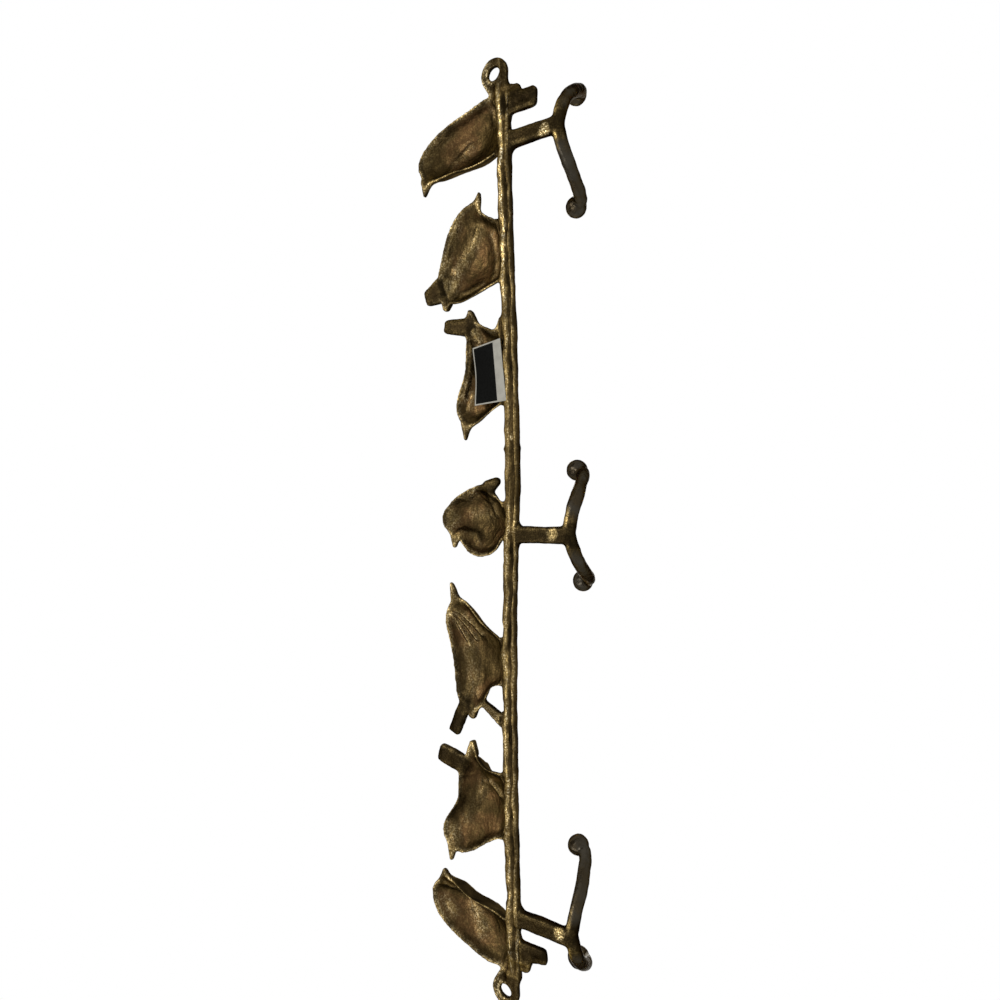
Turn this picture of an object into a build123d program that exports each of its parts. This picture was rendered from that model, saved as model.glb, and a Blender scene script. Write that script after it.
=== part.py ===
import os
from math import atan2, degrees, hypot, isclose

from build123d import *

# Key rail cast in one piece: birds on a branch, three double hooks and two screw eyelets.
# X runs along the branch, Z is up, the flat back lies on Y = 0 and the front faces -Y.
# The origin is midway between the two screw holes. All sizes are in millimetres.

# Screw eyelets, each joined to the branch by a neck
hole_spacing = 330.0
hole_diameter = 4.8
eyelet_diameter = 11.2
eyelet_depth = 2.0
neck_diameter = 6.4
neck_reach = 8.5
neck_drop = 2.3

# Branch: a twig of straight lengths between the stations of its axis
branch_width = 5.7
branch_depth = 4.2
branch_edge = 1.5
branch_back_edge = 0.6
branch_stop = 4.6
branch_end_drop = 3.2
branch_axis = [(-125, -3.3), (-90, -4.1), (-52, -4.9), (-20, -5.3), (10, -3.9), (42, -2.7), (80, -2.5),
               (125, -2.8)]
groove_width = 1.5
groove_depth = 0.5
groove_drop = 0.9
knot_place = -30.0
knot_diameter = 6.8
knot_sides = 8

# Hooks: a stem down from the branch, and a bow of two arms with a knob on each tip. Each was set by hand:
# its place along the branch, the drop to its bow, the bow's shift beside the stem, and its angles in degrees.
# An arm is a curve from the middle of the bow, swept in short straight lengths.
hooks = [
    {"place": -139.6, "drop": 21.8, "shift": 0.0, "tilt": 5.0, "roll": -1.5, "turn": -1.3},
    {"place": 0.8, "drop": 23.0, "shift": -0.8, "tilt": -1.0, "roll": 0.0, "turn": -4.9},
    {"place": 137.6, "drop": 23.3, "shift": -1.0, "tilt": -5.0, "roll": 0.0, "turn": 1.5},
]
stem_width = 6.0
stem_fillet = 2.2
same_place = 0.01
rod_diameter = 4.9
rod_sides = 12
arm_curve = [(0, 0, 0), (7.3, -1.3, -1.2), (13.2, -6.7, -1.0), (18.0, -14.9, 1.1), (20.5, -20.6, 6.3)]
arm_start = (1, 0, -0.25)
arm_end = (0.2, -0.4, 0.9)
arm_lengths = 8
knob_diameter = 8.2
knob_profile = [(-0.85, 0.6), (-0.45, 0.9), (0.05, 1), (0.5, 0.87), (0.8, 0.55)]

# Bird shells. A profile gives the share of the outline that is left at a share of the depth.
# The hollow is a dish whose flat sides slope in, band by band, to a flat floor.
perch_line = -0.7
shell_wall = 2.0
hollow_share = 0.91
hollow_sides = 22
edge_depth = 2.2
shell_profile = [(0, 1), (0.34, 0.9), (1.1, 0.66)]
hollow_profile = [(0, 1), (0.42, 0.86), (0.72, 0.62), (1, 0.28)]
wing_start = 1.6
wing_root = 0.9
wing_relief = 0.8
wing_fullest = 0.38
eye_diameter = 2.2
eye_sides = 6
feather_depth = 2.4
feather_draft = 8.0
end_bird_inset = 19.0

# Paper label on the back of the third bird
label_width = 21.5
label_height = 13.6
label_thickness = 0.15
label_place = (0.3, 4.0)
label_turn = -2.0

# Each bird stands at a perch on the branch. Its outline runs anticlockwise from the foot, as seen from the
# front, in X from the perch and Z from the perch line. A bar is a root, a tip and its width at each: beak,
# tail, wing tip, leg and undertail are bars. A wing is a shoulder, a tip and a width.
birds = [
    {
        "perch": end_bird_inset - hole_spacing / 2,
        "height": 8.5,
        "crown": (1.5, 16),
        "outline": [(9.2, -2), (12.2, 10), (12.3, 24), (12.4, 32), (5.5, 37), (-2.3, 32), (-6.9, 22),
                    (-10.3, 8), (-10.6, -2), (0, -4.5)],
        "bars": [((10.5, 33.3), (17.6, 34.6), 6.4, 1.4),
                 ((-6, -4), (-5.7, -17), 7, 6.6),
                 ((-8.5, -3), (-9.6, -10.6), 10.5, 5)],
        "wing": ((5, 25), (-6, 4), 9),
        "eye": (7.5, 33),
    },
    {
        "perch": -100.0,
        "height": 8.0,
        "crown": (-1, 13),
        "outline": [(10.2, -1.5), (13.2, 9), (15, 19.5), (11, 27.2), (0, 27), (-11, 23.2), (-18.7, 17.3),
                    (-20.9, 11.2), (-16.8, 6.6), (-11.5, -1), (0, -4.5)],
        "bars": [((-19, 9.8), (-25, 7.7), 5, 1.2),
                 ((8, 25.6), (10.6, 34.2), 10.2, 5.6),
                 ((12.4, 23.6), (16.7, 24.6), 6, 1.8)],
        "wing": ((-10, 15.5), (11.5, 20.5), 9),
        "eye": (-16.8, 13.5),
    },
    {
        "perch": -58.0,
        "height": 7.0,
        "crown": (0, 8),
        "outline": [(12.9, 0), (18.1, 9), (19.7, 14.8), (15, 19.2), (9.5, 19.5), (2, 16.5), (-6, 14.9),
                    (-15, 14.8), (-21, 13), (-17.5, 7), (-14.4, 0.6), (0, -5)],
        "bars": [((18, 15.6), (24.7, 16.1), 5.4, 1.2),
                 ((-17.5, 13.4), (-19.6, 24.9), 6.6, 5),
                 ((-18.5, 12.2), (-24, 13), 5.5, 1.6),
                 ((-13.5, -0.4), (-20.5, -1.8), 5, 1.6)],
        "wing": ((8, 8.5), (-15.5, 9.5), 7),
        "eye": (14.5, 16.2),
    },
    {
        "perch": -5.0,
        "height": 8.5,
        "crown": (1, 12),
        "outline": [(8.6, 0), (14.3, 10), (12.2, 15.6), (8.4, 18.6), (5.9, 23.8), (0.5, 27.2), (-5.6, 23.6),
                    (-10.1, 16.2), (-12.2, 7.6), (-8.4, 2.1), (-3.2, -3.5), (6, -4.5)],
        "bars": [((6, 21.6), (11.6, 21.8), 5, 1.8),
                 ((-10.6, 6.6), (-14, 0.8), 6, 1.8)],
        "wing": ((4.5, 14.5), (-7.2, 8), 7.5),
        "eye": (1.6, 22.4),
    },
    {
        "perch": 45.0,
        "height": 7.5,
        "crown": (1, 13),
        "outline": [(10.6, 0), (12.7, 5.7), (18.1, 8.7), (22, 13.5), (19.8, 19.2), (9, 22), (-3, 24.2),
                    (-13, 26.1), (-19, 23.2), (-20.3, 18.6), (-13.5, 10.6), (-7.7, 1.8), (0, -4)],
        "bars": [((-18.6, 21.7), (-26.3, 23.8), 5, 1.2),
                 ((19.6, 17.8), (30.9, 23.2), 4.8, 4.8),
                 ((20, 14.4), (24.4, 14.1), 6, 2),
                 ((17.2, 10.2), (23.8, -0.5), 2.2, 4.6)],
        "wing": ((-9, 15.5), (16, 14.5), 7.5),
        "eye": (-15.5, 22),
    },
    {
        "perch": 98.0,
        "height": 8.0,
        "crown": (2, 12),
        "outline": [(12.7, 0.5), (18.5, 11.5), (22.9, 21), (21.8, 25.8), (17, 28.7), (9, 26), (2, 21.4),
                    (-7, 21), (-13.4, 18.4), (-16.8, 14.8), (-12.2, 9.2), (-11.2, 1), (0, -4)],
        "bars": [((21.2, 24.8), (27.5, 25.4), 5, 1.2),
                 ((-10.7, 18.6), (-13.8, 30.2), 7.2, 6.6),
                 ((-15, 14.6), (-20.6, 14.5), 6, 1.6)],
        "wing": ((11, 16), (-11.5, 12), 8),
        "eye": (17.4, 24.4),
    },
    {
        "perch": hole_spacing / 2 - end_bird_inset,
        "height": 8.5,
        "crown": (-2, 15),
        "outline": [(10.5, -1), (11, 8), (8.2, 18), (3.7, 28), (-3, 34), (-8.5, 34.3), (-13.2, 31),
                    (-14.6, 26.5), (-11, 19), (-9.3, 10), (-7.3, 1), (0, -4.5)],
        "bars": [((-12.8, 28.4), (-17.4, 28.8), 6.5, 1.4),
                 ((2.6, -4), (1.2, -16.6), 7.2, 4.8),
                 ((6, -4), (7.4, -9.8), 9, 4)],
        "wing": ((-5, 23), (6.5, 5), 9),
        "eye": (-10.5, 30),
    },
]


branch_reach = hole_spacing / 2 - branch_stop
stations = [(-branch_reach, -branch_end_drop), *branch_axis, (branch_reach, -branch_end_drop)]


def axis_height(x):
    # Height of the branch axis at a place along it
    for (x0, z0), (x1, z1) in zip(stations, stations[1:]):
        if x0 <= x <= x1:
            return z0 + (z1 - z0) * (x - x0) / (x1 - x0)
    return -branch_end_drop


def moved(points, dx, dz):
    return [(x + dx, z + dz) for x, z in points]


def shrunk(points, centre, share):
    return [(centre[0] + (x - centre[0]) * share, centre[1] + (z - centre[1]) * share) for x, z in points]


def corners_on(outline, sides):
    # Corners of a polygon that lies on the smooth outline
    with BuildLine() as curve:
        Spline(outline, periodic=True)
    spots = [curve.line @ (i / sides) for i in range(sides)]
    return [(spot.X, spot.Y) for spot in spots]


def lined(body, lip, centre, depth):
    # The body with a dish in its back, as one thin-walled solid: skin, rim and the dish's flat faces
    rings = []
    for depth_share, lip_share in hollow_profile:
        rings.append([(x, -depth_share * depth, z) for x, z in shrunk(lip, centre, lip_share)])
    dish = [Face(Wire.make_polygon(rings[-1]))]
    for outer, inner in zip(rings, rings[1:]):
        for i in range(len(lip)):
            dish.append(Face(Wire.make_polygon([outer[i - 1], outer[i], inner[i], inner[i - 1]])))
    *skin, back = body.faces().sort_by(Axis.Y)
    rim = Face(back.outer_wire(), [Wire.make_polygon(rings[0])])
    return Solid(Shell([rim, *skin, *dish]))


def bar(root, tip, root_width, tip_width):
    # A flat tapered piece with a drafted edge
    length = hypot(tip[0] - root[0], tip[1] - root[1])
    turn = degrees(atan2(tip[1] - root[1], tip[0] - root[0]))
    corners = [(0, -root_width / 2), (length, -tip_width / 2), (length, tip_width / 2), (0, root_width / 2)]
    with BuildPart() as piece:
        with BuildSketch(Plane.XZ):
            with Locations(Location((*root, 0), (0, 0, turn))):
                Polygon(*corners, align=None)
        extrude(amount=feather_depth, taper=feather_draft)
    return piece.part


def wing_outline(shoulder, tip, width):
    # Tip, upper edge, shoulder and lower edge of a leaf
    dx, dz = tip[0] - shoulder[0], tip[1] - shoulder[1]
    length = hypot(dx, dz)
    side = (-dz / length * width / 2, dx / length * width / 2)
    middle = (shoulder[0] + wing_fullest * dx, shoulder[1] + wing_fullest * dz)
    upper = (middle[0] + side[0], middle[1] + side[1])
    lower = (middle[0] - side[0], middle[1] - side[1])
    return [tip, upper, shoulder, lower]


def bird_shell(bird):
    perch, height = bird["perch"], bird["height"]
    outline = moved(bird["outline"], perch, perch_line)
    centre = moved([bird["crown"]], perch, perch_line)[0]
    reach = max(hypot(x - centre[0], z - centre[1]) for x, z in outline)
    rise = height - edge_depth
    crown_radius = (reach ** 2 + rise ** 2) / (2 * rise)

    with BuildPart() as body:
        for depth_share, outline_share in shell_profile:
            with BuildSketch(Plane.XZ.offset(depth_share * height)):
                with BuildLine():
                    Spline(shrunk(outline, centre, outline_share), periodic=True)
                make_face()
        loft(ruled=True)
        with Locations((centre[0], crown_radius - height, centre[1])):
            Sphere(crown_radius, mode=Mode.INTERSECT)
    lip = corners_on(shrunk(outline, centre, hollow_share), hollow_sides)

    with BuildPart() as relief:
        with BuildSketch(Plane.XZ.offset(wing_start)):
            with BuildLine():
                tip, upper, shoulder, lower = moved(wing_outline(*bird["wing"]), perch, perch_line)
                ThreePointArc(tip, upper, shoulder)
                ThreePointArc(shoulder, lower, tip)
            make_face()
            with Locations(moved([bird["eye"]], perch, perch_line)):
                RegularPolygon(eye_diameter / 2, eye_sides)
        extrude(amount=height)
        with Locations((centre[0], crown_radius - height, centre[1])):
            Sphere(crown_radius + wing_relief, mode=Mode.INTERSECT)
            Sphere(crown_radius - wing_root, mode=Mode.SUBTRACT)

    with BuildPart() as shell:
        add(lined(body.part, lip, centre, height - shell_wall))
        add(relief.part)
        for root, tip, root_width, tip_width in bird["bars"]:
            add(bar(*moved([root, tip], perch, perch_line), root_width, tip_width))
    return shell.part


def bow(hook):
    # Both arms of a hook in one sweep, with a ball on each tip that is flattened at its end
    with BuildLine() as curve:
        Spline(arm_curve, tangents=(arm_start, arm_end))
    arm = [curve.line @ (i / arm_lengths) for i in range(arm_lengths + 1)]
    other_arm = [(-point.X, point.Y, point.Z) for point in reversed(arm[1:])]
    with BuildPart() as arms:
        with BuildLine() as path:
            Polyline(*other_arm, *arm)
        with BuildSketch(Plane(path.line ^ 0)):
            RegularPolygon(rod_diameter / 2, rod_sides)
        sweep(path=path.line, transition=Transition.RIGHT)
        for end, outwards in ((0, -1), (1, 1)):
            for along, share in knob_profile:
                with BuildSketch(Plane(path.line ^ end).offset(outwards * along * knob_diameter / 2)):
                    RegularPolygon(share * knob_diameter / 2, rod_sides)
            loft(ruled=True)
    middle = (hook["place"] + hook["shift"], -rod_diameter / 2, axis_height(hook["place"]) - hook["drop"])
    return Location(middle, (hook["tilt"], hook["roll"], hook["turn"])) * arms.part


def at_stem_top(corner):
    # True where the side of a stem meets the branch
    for hook in hooks:
        beside = isclose(abs(corner.X - hook["place"]), stem_width / 2, abs_tol=same_place)
        if beside and corner.Y > axis_height(hook["place"]) - hook["drop"] / 2:
            return True
    return False


with BuildPart() as branch:
    with BuildSketch(Plane.XZ) as side_view:
        upper_edge = moved(stations, 0, branch_width / 2)
        lower_edge = moved(stations, 0, -branch_width / 2)
        Polygon(*lower_edge, *reversed(upper_edge), align=None)
        with Locations((knot_place, axis_height(knot_place))):
            RegularPolygon(knot_diameter / 2, knot_sides)
        for hook in hooks:
            with Locations((hook["place"], axis_height(hook["place"]))):
                Rectangle(stem_width, hook["drop"], align=(Align.CENTER, Align.MAX))
        fillet([corner for corner in side_view.vertices() if at_stem_top(corner)], radius=stem_fillet)
    extrude(amount=branch_depth)
    chamfer(branch.faces().sort_by(Axis.Y)[0].edges(), length=branch_edge)
    chamfer(branch.faces().sort_by(Axis.Y)[-1].edges(), length=branch_back_edge)
    with BuildSketch(Plane.XZ):
        middle = moved(stations[1:-1], 0, -groove_drop)
        upper_lip = moved(middle, 0, groove_width / 2)
        lower_lip = moved(middle, 0, -groove_width / 2)
        Polygon(*lower_lip, *reversed(upper_lip), align=None)
    extrude(amount=groove_depth, mode=Mode.SUBTRACT)

with BuildPart() as eyelets:
    for side in (-1, 1):
        with BuildSketch(Plane.XZ):
            with Locations((side * hole_spacing / 2, 0)):
                Circle(eyelet_diameter / 2)
            with Locations((side * (hole_spacing / 2 - neck_reach), -neck_drop)):
                Circle(neck_diameter / 2)
            make_hull()
        extrude(amount=eyelet_depth)

with BuildPart() as casting:
    for bird in birds:
        add(bird_shell(bird))
    add(branch.part)
    add(eyelets.part)
    for hook in hooks:
        add(bow(hook))
    with Locations(Plane.XZ.offset(eyelet_depth)):
        with GridLocations(hole_spacing, 0, 2, 1):
            Hole(hole_diameter / 2)

labelled_bird = birds[2]
label_centre = moved([label_place], labelled_bird["perch"], perch_line)[0]
with BuildPart() as label:
    with BuildSketch(Plane.XZ):
        with Locations(Location((*label_centre, 0), (0, 0, label_turn))):
            Rectangle(label_width, label_height)
    extrude(amount=-label_thickness)

casting.part.label = "casting"
label.part.label = "back_label"

os.makedirs("parts", exist_ok=True)
export_step(casting.part, "parts/casting.step")
export_step(label.part, "parts/back_label.step")
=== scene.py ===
import math

import bmesh
import bpy
import numpy as np
from mathutils import Matrix, Vector, kdtree


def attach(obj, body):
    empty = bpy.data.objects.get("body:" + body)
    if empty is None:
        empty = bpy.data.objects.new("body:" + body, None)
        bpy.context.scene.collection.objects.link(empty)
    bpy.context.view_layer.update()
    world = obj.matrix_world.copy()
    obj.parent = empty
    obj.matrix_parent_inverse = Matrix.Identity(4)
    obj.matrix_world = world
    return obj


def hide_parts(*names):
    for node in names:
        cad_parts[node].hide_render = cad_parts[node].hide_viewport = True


mm = 0.001

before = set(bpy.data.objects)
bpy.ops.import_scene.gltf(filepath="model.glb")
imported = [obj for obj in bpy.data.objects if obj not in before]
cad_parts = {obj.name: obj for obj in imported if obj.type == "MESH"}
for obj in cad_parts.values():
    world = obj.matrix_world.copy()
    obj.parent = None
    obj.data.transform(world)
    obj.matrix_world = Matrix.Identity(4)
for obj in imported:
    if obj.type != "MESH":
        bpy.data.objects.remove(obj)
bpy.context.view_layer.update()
bpy.context.scene.view_settings.view_transform = "Standard"
print("frame loaded:", sorted(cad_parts))


def placeNode(tree, kind, **values):
    made = tree.nodes.new(kind)
    for key, value in values.items():
        if hasattr(made, key):
            setattr(made, key, value)
        else:
            made.inputs[key.replace("_", " ")].default_value = value
    return made


# a socket takes another socket as a link, and a colour or a number as its value
def feed(tree, value, socket):
    if isinstance(value, bpy.types.NodeSocket):
        tree.links.new(value, socket)
    elif isinstance(value, tuple):
        socket.default_value = (*value, 1)
    else:
        socket.default_value = value


def mathsIn(tree):
    def maths(operation, a, b=0.0, clamp=False):
        made = placeNode(tree, "ShaderNodeMath", operation=operation, use_clamp=clamp)
        for value, socket in zip((a, b), made.inputs):
            feed(tree, value, socket)
        return made.outputs[0]

    return maths


def colourMix(tree, share, a, b):
    made = placeNode(tree, "ShaderNodeMix", data_type="RGBA")
    for value, place in ((share, 0), (a, 6), (b, 7)):  # the node's sockets for colours
        feed(tree, value, made.inputs[place])
    return made.outputs[2]


def noiseAt(tree, place, scale, detail, roughness=0.5):
    made = placeNode(tree, "ShaderNodeTexNoise", Detail=detail, Roughness=roughness)
    feed(tree, place, made.inputs["Vector"])
    feed(tree, scale, made.inputs["Scale"])
    return made.outputs["Fac"]


def smoothRange(tree, value, low, high):
    made = placeNode(tree, "ShaderNodeMapRange", interpolation_type="SMOOTHSTEP")
    for given, name in ((value, "Value"), (low, "From Min"), (high, "From Max")):
        feed(tree, given, made.inputs[name])
    return made.outputs["Result"]


def evenRange(tree, value, low, high):
    made = placeNode(tree, "ShaderNodeMapRange", To_Min=low, To_Max=high)
    feed(tree, value, made.inputs["Value"])
    return made.outputs["Result"]


def newFinish(name):
    material = bpy.data.materials.new(name)
    material.use_nodes = True
    tree = material.node_tree
    tree.nodes.clear()
    out = tree.nodes.new("ShaderNodeOutputMaterial")
    shader = tree.nodes.new("ShaderNodeBsdfPrincipled")
    feed(tree, shader.outputs[0], out.inputs["Surface"])
    return material, tree, shader


def newObject(name, data):
    made = bpy.data.objects.new(name, data)
    bpy.context.scene.collection.objects.link(made)
    return made


def mergedCopy(node, name):
    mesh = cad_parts[node].data.copy()
    mesh.name = name
    mesh.materials.clear()
    work = bmesh.new()
    work.from_mesh(mesh)
    bmesh.ops.remove_doubles(work, verts=work.verts, dist=1e-6)
    work.to_mesh(mesh)
    work.free()
    return newObject(name, mesh)


def bakeModifiers(made):
    made.data.update()
    bpy.context.view_layer.update()
    seen = made.evaluated_get(bpy.context.evaluated_depsgraph_get())
    mesh = bpy.data.meshes.new_from_object(seen)
    made.modifiers.clear()
    old = made.data
    made.data = mesh
    bpy.data.meshes.remove(old)
    return made


def readPoints(mesh):
    points = np.zeros(len(mesh.vertices) * 3, np.float32)
    mesh.vertices.foreach_get("co", points)
    return points.reshape(-1, 3).astype(float)


def writePoints(mesh, points):
    mesh.vertices.foreach_set("co", points.astype(np.float32).ravel())
    mesh.update()


def readNormals(mesh):
    normals = np.zeros(len(mesh.vertices) * 3, np.float32)
    mesh.vertex_normals.foreach_get("vector", normals)
    return normals.reshape(-1, 3).astype(float)


def readEdges(mesh):
    edges = np.zeros(len(mesh.edges) * 2, np.int32)
    mesh.edges.foreach_get("vertices", edges)
    return edges.reshape(-1, 2)


def neighbourMean(values, edges):
    count = len(values)
    ends = np.concatenate([edges[:, 0], edges[:, 1]])
    others = np.concatenate([edges[:, 1], edges[:, 0]])
    share = np.maximum(np.bincount(ends, minlength=count), 1)
    flat = values.reshape(count, -1)
    sums = [np.bincount(ends, flat[others, k], count) / share for k in range(flat.shape[1])]
    return np.stack(sums, 1).reshape(values.shape)


# each round moves a point by a share of the way to the mean of its neighbours
def relax(values, edges, rounds, share=0.5):
    for _ in range(rounds):
        values = values + share * (neighbourMean(values, edges) - values)
    return values


def ease(value, low, high):
    t = np.clip((value - low) / (high - low), 0, 1)
    return t * t * (3 - 2 * t)


# 1 inside the half width, fading to 0 at its edge
def within(value, half, fade):
    return ease(half - np.abs(value), 0.0, fade)


def bell(value, width):
    return np.exp(-((value / width) ** 2))


def storeMask(mesh, name, values):
    made = mesh.attributes.new(name, "FLOAT", "POINT")
    made.data.foreach_set("value", values.astype(np.float32))


def storePlaces(mesh, name, *columns):
    made = mesh.attributes.new(name, "FLOAT_VECTOR", "POINT")
    made.data.foreach_set("vector", np.stack(columns, 1).astype(np.float32).ravel())


# lengths in mm in the row frame: X along the rail, Z up, the back at Y = 0
# a pair says where a share starts to rise and where it is full
# or, in names that end in Half, a half width and how far in it fades
castingLook = {
    "voxel": 0.46,
    "keptShare": 0.57,
    # rounds of smoothing
    "pushPull": (0.5, -0.52),
    "softRounds": 12,
    "roundRounds": 11,
    "girthRounds": 10,
    "dishRounds": 45,
    "armRounds": 8,
    "slimRounds": 18,
    "neckRounds": 40,
    # rims, hollows, tails and beaks
    "perchRise": (-1.2, 0.6),
    "backFacing": (0.1, 0.5),
    "rimSlope": (0.35, 2.4),
    "rimDepth": (-9.0, -2.5),
    "rimFade": (-4.0, -1.0),
    "rimDrop": 1.3,
    "dishEdge": (0.3, 1.3),
    "tailFree": (2.5, 5.0),
    "tailSlim": (3.6, 5.4),
    "beakSlim": (1.6, 3.2),
    "neckReach": (2.4, 5.2),
    "slimGirth": 0.4,
    "beakTaper": 0.45,
    "taperRun": (0.15, 1.0),
    "taperReach": (3.5, 5.0),
    # an outer wall faces sideways and lies near the back
    "wallFacing": 0.3,
    "wallDepth": -1.6,
    "rimFacing": 0.05,
    "rimHeight": -2.0,
    "farGap": 9.0,
    # skin relief
    "waveDepth": 0.8,
    "waveScale": 0.15,
    "waveDetail": 2.0,
    "grainDepth": 0.22,
    "grainScale": 0.5,
    "grainDetail": 3.0,
    "lumpDepth": 0.9,
    "lumpScale": 0.13,
    "lumpDetail": 2.0,
    "featherDepth": 0.15,
    "featherPitch": 1.9,
    "barbSlant": 1.6,
    "barbSink": 0.4,
    # hooks along the rail, and where an arm starts beside and below its stem
    "hooks": (-139.6, 0.8, 137.6),
    "armBeside": (3.5, 9.0),
    "armBelow": (13.0, 17.0),
    "armFree": (3.5, 5.0),
    # the rail reads as a thick and a thin twig side by side: middle, half width and crown of each
    "railAxis": (
        (-160.4, -3.2), (-125, -3.3), (-90, -4.1), (-52, -4.9), (-20, -5.3),
        (10, -3.9), (42, -2.7), (80, -2.5), (125, -2.8), (160.4, -3.2),
    ),
    "railTwigs": ((0.8, 2.1, 1.0), (-1.95, 1.05, 0.7)),
    "railDrop": 1.05,
    "railHalf": (3.4, 0.5),
    "railDepth": (-2.6, -0.8),
    "lengthHalf": (158.5, 2.0),
    "stemHalf": (3.5, 1.5),
    "stemTop": (0.0, 1.5),
    # the twigs sway, swell and rise unevenly: pitch, turn and share of each wave
    "swayWaves": ((0.19, 2.1, 1.0), (0.47, 1.3, 0.7), (1.1, 1.0, 0.5)),
    "swayTotal": 1.5,
    "twigSway": 0.42,
    "twigSwell": 0.28,
    "swellTurn": 5,
    "twigRise": 0.4,
    "riseTurn": 9,
    # from here to there the rail is worn smoother
    "wornRun": (-48.0, -8.0),
    "wornEnds": 6.0,
    "wornShare": 0.65,
    # wing: shoulder, tip and width; tail and beak: root and tip
    # folds: a run in the hollow, its height, its half width and how much gold shows on it, as rubbed gold and
    # partly a painted highlight
    "birds": [
        {
            "wing": ((-141, 24.3), (-152, 3.3), 9),
            "tail": ((-152, -4.7), (-151.7, -17.7)),
            "beak": ((-135.5, 32.6), (-128.4, 33.9)),
            "folds": [
                (((-152.6, 23.2), (-147.5, 31.7)), 0.5, 2.7, 0.5),
                (((-146.5, 32.0), (-141.2, 34.2)), 0.4, 1.8, 0.9),
                (((-153.8, 2.5), (-149.1, 1.8)), 0.5, 1.5, 0.5),
                (((-145.0, 15.2), (-140.0, 21.9)), 0.5, 2.4, 0.4),
            ],
        },
        {
            "wing": ((-110, 14.8), (-88.5, 19.8), 9),
            "tail": ((-92, 24.9), (-89.4, 33.5)),
            "beak": ((-119, 9.1), (-125, 7)),
            "folds": [
                (((-111.7, 10.4), (-104.8, 15.1), (-99.1, 20.3), (-90.5, 21.8)), 1.1, 1.8, 1.5),
                (((-90.7, 8.2), (-88.9, 17.5)), 0.8, 1.6, 0.7),
                (((-109.0, 4.3), (-100.6, 2.2), (-93.0, 2.6)), 0.5, 1.6, 0.4),
                (((-117.0, 18.4), (-106.8, 23.6), (-97.4, 26.2)), 0.8, 1.8, 1.8),
                (((-97.4, 26.2), (-89.0, 22.0)), 0.5, 1.8, 1.5),
            ],
        },
        {
            "wing": ((-50, 7.8), (-73.5, 8.8), 7),
            "tail": ((-75.5, 12.7), (-77.6, 24.2)),
            "beak": ((-40, 14.9), (-33.3, 15.4)),
            "folds": [
                (((-79.5, 12.4), (-70.6, 9.8)), 1.0, 1.6, 1.8),
                (((-68.6, 13.2), (-59.5, 14.2), (-49.7, 16.6)), 0.7, 1.3, 1.4),
                (((-51.4, 13.4), (-45.8, 14.6)), 0.6, 1.5, 0.6),
            ],
        },
        {
            "wing": ((-0.5, 13.8), (-12.2, 7.3), 7.5),
            "tail": ((-15.6, 5.9), (-19, 0.1)),
            "beak": ((1, 20.9), (6.6, 21.1)),
            "folds": [
                (((-6.6, 23.2), (-2.8, 23.4)), 0.7, 1.9, 1.6),
                (((-14.4, 12.4), (-12.2, 16.4)), 0.5, 1.2, 1.2),
                (((0.1, 18.9), (1.4, 13.3), (4.2, 11.3)), 1.0, 1.4, 0.3),
                (((-6.2, 15.0), (-6.2, 7.3)), 0.5, 2.1, 0.5),
                (((-12.0, 5.4), (-6.7, 4.4)), 0.6, 1.3, 0.6),
            ],
        },
        {
            "wing": ((36, 14.8), (61, 13.8), 7.5),
            "tail": ((64.6, 17.1), (75.9, 22.5)),
            "beak": ((26.4, 21), (18.7, 23.1)),
            "folds": [
                (((29.6, 24.6), (36.7, 20.3), (42.8, 16.9)), 1.1, 0.9, 1.4),
                (((29.4, 23.6), (36.0, 17.4), (40.4, 14.0)), 1.0, 0.9, 1.2),
                (((28.6, 22.6), (34.4, 15.1), (38.1, 10.6)), 0.9, 0.9, 1.1),
                (((43.7, 16.9), (50.8, 15.6), (59.4, 15.5)), 0.8, 2.5, 0.9),
            ],
        },
        {
            "wing": ((109, 15.3), (86.5, 11.3), 8),
            "tail": ((87.3, 17.9), (84.2, 29.5)),
            "beak": ((119.2, 24.1), (125.5, 24.7)),
            "folds": [
                (((113.2, 24.5), (117.0, 23.5)), 0.8, 2.0, 1.5),
                (((93.5, 11.2), (101.5, 14.9)), 0.6, 1.8, 0.6),
                (((92.4, 8.0), (96.9, 3.6)), 0.9, 1.0, 1.5),
                (((101.3, 15.6), (109.0, 19.6)), 0.5, 2.1, 0.4),
            ],
        },
        {
            "wing": ((141, 22.3), (152.5, 4.3), 9),
            "tail": ((148.6, -4.7), (147.2, -17.3)),
            "beak": ((133.2, 27.7), (128.6, 28.1)),
            "folds": [
                (((142.0, 29.4), (146.0, 26.0)), 0.6, 1.8, 0.9),
                (((142.6, 17.8), (149.6, 12.9)), 0.7, 2.0, 1.1),
                (((138.0, 10.2), (139.6, 4.8)), 0.8, 1.2, 1.2),
                (((135.0, 28.0), (137.6, 20.0)), 0.6, 1.4, 0.7),
            ],
        },
    ],
}


# how far points lie from a run between two places
def runGap(flat, root, tip):
    a = np.array(root, float)
    d = np.array(tip, float) - a
    t = np.clip(((flat - a) @ d) / (d @ d), 0, 1)
    return np.linalg.norm(flat - a - t[:, None] * d, axis=1)


# how far points lie from the nearest tail or beak
def partGap(flat, part, look):
    return np.min([runGap(flat, *bird[part]) for bird in look["birds"]], 0)


def hookGap(x, look):
    return np.min([np.abs(x - place) for place in look["hooks"]], 0)


# how far a point on the back lies from the nearest outer wall
def rimGap(points, normals, look):
    facing = normals[:, 1]
    wall = np.nonzero((np.abs(facing) < look["wallFacing"]) & (points[:, 1] > look["wallDepth"]))[0]
    tree = kdtree.KDTree(len(wall))
    for place, index in enumerate(wall):
        tree.insert((points[index, 0], 0, points[index, 2]), place)
    tree.balance()
    gap = np.full(len(points), look["farGap"])
    for index in np.nonzero((facing > look["rimFacing"]) & (points[:, 2] > look["rimHeight"]))[0]:
        gap[index] = tree.find((points[index, 0], 0, points[index, 2]))[2]
    return gap


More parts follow.
